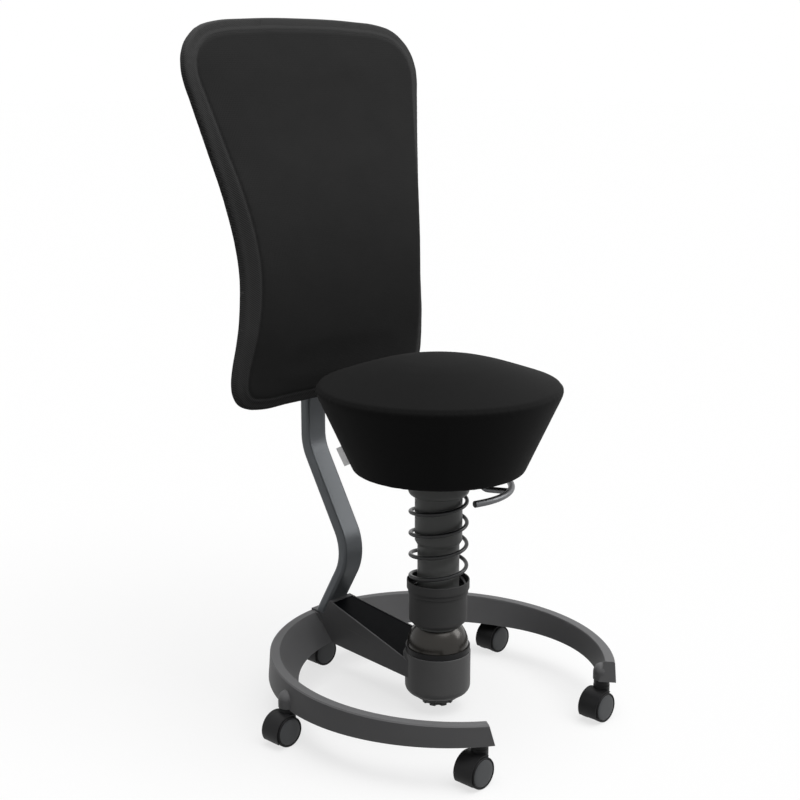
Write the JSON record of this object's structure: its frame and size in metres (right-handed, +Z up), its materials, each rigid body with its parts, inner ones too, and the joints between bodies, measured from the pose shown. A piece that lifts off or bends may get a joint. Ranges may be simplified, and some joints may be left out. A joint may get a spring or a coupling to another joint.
{
  "type": "wobble stool with backrest",
  "caption": "Wobble stool on a rolling C-shaped base: sprung, tilting and swivelling column, round padded seat on a conical skirt, and a tall padded backrest on a bent stem.",
  "frame": {"origin": "on the floor under the axis of the column", "axes": "+Z up; the sitter faces -Y, the backrest stands at +Y; +X is to the sitter's left"},
  "size_m": [0.5795, 0.5855, 1.132],
  "materials": {
    "base_metal": "satin",
    "panel_black": "satin",
    "stem_paint": "satin",
    "black_plastic": "matte",
    "housing_paint": "satin",
    "ball_gloss": "gloss",
    "column_paint": "satin",
    "spring_steel": "satin",
    "plain_steel": "satin",
    "rod_chrome": "polished",
    "lever_steel": "satin",
    "buffer_rubber": "matte",
    "seat_fabric": "matte",
    "back_fabric": "matte",
    "tag_fabric": "matte",
    "shell_plastic": "matte",
    "board_wood": "matte",
    "wheel_plastic": "satin"
  },
  "bodies": {
    "base": {"base_ring": "base_metal", "caster_sockets": "black_plastic", "base_arm": "base_metal", "bracket_bolts": "plain_steel", "back_bracket": "base_metal", "bracket_panel": "panel_black", "back_stem": "stem_paint", "stem_cap": "black_plastic", "stem_screws": "plain_steel", "back_board": "shell_plastic", "back_pad": "back_fabric", "joint_housing": "housing_paint", "clamp_ring": "black_plastic", "housing_cover": "black_plastic", "joint_post": "housing_paint", "tilt_buffer": "buffer_rubber"},
    "knob": {"tilt_knob": "black_plastic"},
    "cross": {"joint_cross": "plain_steel"},
    "lower_column": {"joint_ball": "ball_gloss", "guide_tube": "column_paint", "spring_cup": "black_plastic", "coil_spring": "spring_steel"},
    "upper_column": {"upper_tube": "column_paint", "slide_bush": "black_plastic", "spring_collar": "black_plastic", "lift_tube": "column_paint", "lift_bush": "black_plastic", "thrust_bearing": "plain_steel"},
    "gas_rod": {"gas_rod": "rod_chrome"},
    "seat": {"gas_cylinder": "column_paint", "seat_hub": "plain_steel", "seat_plate": "plain_steel", "plate_screws": "plain_steel", "seat_board": "board_wood", "seat_cushion": "seat_fabric", "seat_skirt": "seat_fabric", "seat_tag": "tag_fabric"},
    "lever": {"release_lever": "lever_steel"},
    "pin": {"release_pin": "plain_steel"},
    "caster_back": {"caster_back_body": "black_plastic", "caster_back_pins": "plain_steel"},
    "caster_back_wheel_near": {"caster_back_wheel_near": "wheel_plastic"},
    "caster_back_wheel_far": {"caster_back_wheel_far": "wheel_plastic"},
    "caster_left": {"caster_left_body": "black_plastic", "caster_left_pins": "plain_steel"},
    "caster_left_wheel_near": {"caster_left_wheel_near": "wheel_plastic"},
    "caster_left_wheel_far": {"caster_left_wheel_far": "wheel_plastic"},
    "caster_front_left": {"caster_front_left_body": "black_plastic", "caster_front_left_pins": "plain_steel"},
    "caster_front_left_wheel_near": {"caster_front_left_wheel_near": "wheel_plastic"},
    "caster_front_left_wheel_far": {"caster_front_left_wheel_far": "wheel_plastic"},
    "caster_front_right": {"caster_front_right_body": "black_plastic", "caster_front_right_pins": "plain_steel"},
    "caster_front_right_wheel_near": {"caster_front_right_wheel_near": "wheel_plastic"},
    "caster_front_right_wheel_far": {"caster_front_right_wheel_far": "wheel_plastic"},
    "caster_right": {"caster_right_body": "black_plastic", "caster_right_pins": "plain_steel"},
    "caster_right_wheel_near": {"caster_right_wheel_near": "wheel_plastic"},
    "caster_right_wheel_far": {"caster_right_wheel_far": "wheel_plastic"}
  },
  "joints": [
    {"name": "tilt_fore_aft", "type": "hinge", "parent": "base", "child": "cross", "pos_m": [0, 0, 0.112], "axis": [1, 0, 0], "range_deg": [-3, 8], "stiffness_Nm_per_rad": 220},
    {"name": "tilt_sideways", "type": "hinge", "parent": "cross", "child": "lower_column", "pos_m": [0, 0, 0.112], "axis": [0, 1, 0], "range_deg": [-8, 8], "stiffness_Nm_per_rad": 220},
    {"name": "bounce", "type": "slide", "parent": "lower_column", "child": "upper_column", "axis": [0, 0, 1], "range_m": [-0.04, 0], "stiffness_N_per_m": 8000, "springref_m": 0.03, "deforming": ["coil_spring"]},
    {"name": "seat_swivel", "type": "hinge", "parent": "upper_column", "child": "gas_rod", "pos_m": [0, 0, 0.3], "axis": [0, 0, 1], "continuous": true},
    {"name": "seat_height", "type": "slide", "parent": "gas_rod", "child": "seat", "axis": [0, 0, 1], "range_m": [-0.105, 0], "stiffness_N_per_m": 1000, "springref_m": 0.3},
    {"name": "lever_lift", "type": "hinge", "parent": "seat", "child": "lever", "pos_m": [0.01578, -0.03236, 0.5355], "axis": [-0.8988, -0.4384, 0], "range_deg": [0, 4.5], "stiffness_Nm_per_rad": 3, "springref_deg": -5.73},
    {"name": "pin_press", "type": "slide", "parent": "seat", "child": "pin", "axis": [0, 0, -1], "range_m": [0, 0.003]},
    {"name": "knob_turn", "type": "hinge", "parent": "base", "child": "knob", "pos_m": [0, 0, 0.02], "axis": [0, 0, 1], "continuous": true},
    {"name": "caster_back_swivel", "type": "hinge", "parent": "base", "child": "caster_back", "pos_m": [0, 0.277, 0.06], "axis": [0, 0, 1], "continuous": true},
    {"name": "caster_back_spin_near", "type": "hinge", "parent": "caster_back", "child": "caster_back_wheel_near", "pos_m": [-0.012, 0.277, 0.025], "axis": [0, 1, 0], "continuous": true},
    {"name": "caster_back_spin_far", "type": "hinge", "parent": "caster_back", "child": "caster_back_wheel_far", "pos_m": [-0.012, 0.277, 0.025], "axis": [0, 1, 0], "continuous": true},
    {"name": "caster_left_swivel", "type": "hinge", "parent": "base", "child": "caster_left", "pos_m": [-0.26154, 0.08698, 0.06], "axis": [0, 0, 1], "continuous": true},
    {"name": "caster_left_spin_near", "type": "hinge", "parent": "caster_left", "child": "caster_left_wheel_near", "pos_m": [-0.27354, 0.08698, 0.025], "axis": [0, 1, 0], "continuous": true},
    {"name": "caster_left_spin_far", "type": "hinge", "parent": "caster_left", "child": "caster_left_wheel_far", "pos_m": [-0.27354, 0.08698, 0.025], "axis": [0, 1, 0], "continuous": true},
    {"name": "caster_front_left_swivel", "type": "hinge", "parent": "base", "child": "caster_front_left", "pos_m": [-0.15576, -0.22464, 0.06], "axis": [0, 0, 1], "continuous": true},
    {"name": "caster_front_left_spin_near", "type": "hinge", "parent": "caster_front_left", "child": "caster_front_left_wheel_near", "pos_m": [-0.16776, -0.22464, 0.025], "axis": [0, 1, 0], "continuous": true},
    {"name": "caster_front_left_spin_far", "type": "hinge", "parent": "caster_front_left", "child": "caster_front_left_wheel_far", "pos_m": [-0.16776, -0.22464, 0.025], "axis": [0, 1, 0], "continuous": true},
    {"name": "caster_front_right_swivel", "type": "hinge", "parent": "base", "child": "caster_front_right", "pos_m": [0.15576, -0.22464, 0.06], "axis": [0, 0, 1], "continuous": true},
    {"name": "caster_front_right_spin_near", "type": "hinge", "parent": "caster_front_right", "child": "caster_front_right_wheel_near", "pos_m": [0.14376, -0.22464, 0.025], "axis": [0, 1, 0], "continuous": true},
    {"name": "caster_front_right_spin_far", "type": "hinge", "parent": "caster_front_right", "child": "caster_front_right_wheel_far", "pos_m": [0.14376, -0.22464, 0.025], "axis": [0, 1, 0], "continuous": true},
    {"name": "caster_right_swivel", "type": "hinge", "parent": "base", "child": "caster_right", "pos_m": [0.26154, 0.08698, 0.06], "axis": [0, 0, 1], "continuous": true},
    {"name": "caster_right_spin_near", "type": "hinge", "parent": "caster_right", "child": "caster_right_wheel_near", "pos_m": [0.24954, 0.08698, 0.025], "axis": [0, 1, 0], "continuous": true},
    {"name": "caster_right_spin_far", "type": "hinge", "parent": "caster_right", "child": "caster_right_wheel_far", "pos_m": [0.24954, 0.08698, 0.025], "axis": [0, 1, 0], "continuous": true}
  ],
  "couplings": [
    {"joint": "pin_press", "follows": "lever_lift", "m_per_rad": 0.036}
  ]
}
